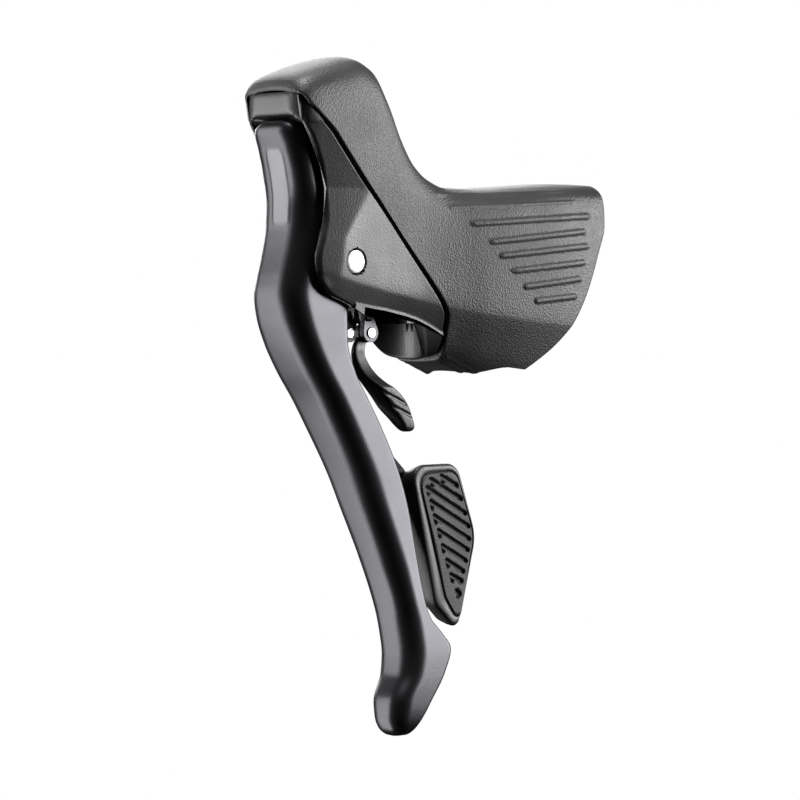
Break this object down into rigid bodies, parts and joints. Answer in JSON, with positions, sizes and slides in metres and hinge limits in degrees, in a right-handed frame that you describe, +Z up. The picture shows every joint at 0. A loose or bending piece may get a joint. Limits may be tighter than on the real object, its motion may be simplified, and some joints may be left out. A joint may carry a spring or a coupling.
{
  "type": "bicycle brake and shift lever",
  "caption": "Left-hand brake and shift lever for a drop handlebar: a rubber-hooded bracket with a hinged brake blade and two shift paddles behind it.",
  "frame": {"origin": "centre of the handlebar clamp", "axes": "+X outboard, -Y forward, +Z up, as held on the bar with the hood level"},
  "size_m": [0.0373, 0.1005, 0.1695],
  "materials": {
    "hood_rubber": "stippled matt black rubber",
    "bracket_nylon": "matt black moulded nylon",
    "blade_coat": "satin black coated alloy",
    "paddle_plastic": "satin black moulded plastic",
    "pad_rubber": "matt dark grey, grooved",
    "steel": "machined steel",
    "spring_steel": "drawn spring wire",
    "brass": "turned brass",
    "liner": "pale moulded liner"
  },
  "bodies": {
    "bracket": {"bracket_body": "bracket_nylon", "rubber_hood": "hood_rubber", "pivot_pin": "steel", "pivot_circlip": "spring_steel", "clamp_band": "steel", "clamp_bolt": "steel", "clamp_nut": "steel", "reach_screw": "steel", "brake_cable_guide": "liner", "shift_cable_guide": "liner", "unit_front_plate": "steel", "unit_rear_plate": "steel", "shift_axle": "steel", "axle_nut": "steel", "axle_washer": "steel", "unit_screw_inboard": "steel", "unit_screw_outboard": "steel", "unit_spacer_inboard": "steel", "unit_spacer_outboard": "steel", "hold_pawl_pin": "steel", "lever_return_spring": "spring_steel", "reel_spring": "spring_steel", "main_return_spring": "spring_steel", "release_return_spring": "spring_steel"},
    "blade": {"brake_lever": "blade_coat", "pivot_bush_inboard": "brass", "pivot_bush_outboard": "brass"},
    "anchor": {"cable_anchor": "steel"},
    "main_hub_body": {"main_hub": "steel", "main_hinge_pin": "steel", "drive_pawl_pin": "steel"},
    "drive_pawl_body": {"drive_pawl": "steel"},
    "large_paddle": {"main_arm": "blade_coat", "main_paddle": "paddle_plastic", "main_paddle_pad": "pad_rubber", "paddle_screw": "steel"},
    "release_hub_body": {"release_hub": "steel", "release_hinge_pin": "steel"},
    "small_paddle": {"release_paddle": "paddle_plastic"},
    "hold_pawl_body": {"hold_pawl": "steel"},
    "reel": {"ratchet_wheel": "steel", "cable_reel": "brass"}
  },
  "joints": [
    {"name": "brake_pull", "type": "hinge", "parent": "bracket", "child": "blade", "pos_m": [0, -0.068, 0.007], "axis": [1, 0, 0], "range_deg": [0, 18], "stiffness_Nm_per_rad": 0.5, "springref_deg": -20.05},
    {"name": "anchor_swivel", "type": "hinge", "parent": "blade", "child": "anchor", "pos_m": [0, -0.0764, 0.019], "axis": [1, 0, 0], "range_deg": [-18, 0]},
    {"name": "main_shift", "type": "hinge", "parent": "bracket", "child": "main_hub_body", "pos_m": [0, -0.05, 0.003], "axis": [0, 1, 0], "range_deg": [0, 13], "stiffness_Nm_per_rad": 0.25, "springref_deg": -20.05, "deforming": ["main_return_spring"]},
    {"name": "drive_pawl_turn", "type": "hinge", "parent": "main_hub_body", "child": "drive_pawl_body", "pos_m": [-0.0032, -0.05265, 0.0136], "axis": [0, 1, 0], "range_deg": [0, 6.5]},
    {"name": "main_fold", "type": "hinge", "parent": "main_hub_body", "child": "large_paddle", "pos_m": [0, -0.0565, -0.0105], "axis": [1, 0, 0], "range_deg": [0, 27]},
    {"name": "release_shift", "type": "hinge", "parent": "bracket", "child": "release_hub_body", "pos_m": [0, -0.05, 0.003], "axis": [0, 1, 0], "range_deg": [0, 12], "stiffness_Nm_per_rad": 0.15, "springref_deg": -20.05, "deforming": ["release_return_spring"]},
    {"name": "release_fold", "type": "hinge", "parent": "release_hub_body", "child": "small_paddle", "pos_m": [0, -0.0565, -0.0105], "axis": [1, 0, 0], "range_deg": [0, 27]},
    {"name": "hold_pawl_turn", "type": "hinge", "parent": "bracket", "child": "hold_pawl_body", "pos_m": [0.0063, -0.05265, 0.0125], "axis": [0, 1, 0], "range_deg": [0, 12]},
    {"name": "reel_turn", "type": "hinge", "parent": "bracket", "child": "reel", "pos_m": [0, -0.05, 0.003], "axis": [0, 1, 0], "range_deg": [0, 40]}
  ],
  "couplings": [
    {"joint": "anchor_swivel", "follows": "brake_pull", "ratio": -1},
    {"joint": "main_fold", "follows": "brake_pull", "ratio": 1.5},
    {"joint": "release_fold", "follows": "brake_pull", "ratio": 1.5},
    {"joint": "drive_pawl_turn", "follows": "main_shift", "ratio": 0.5},
    {"joint": "hold_pawl_turn", "follows": "release_shift", "ratio": 1}
  ]
}
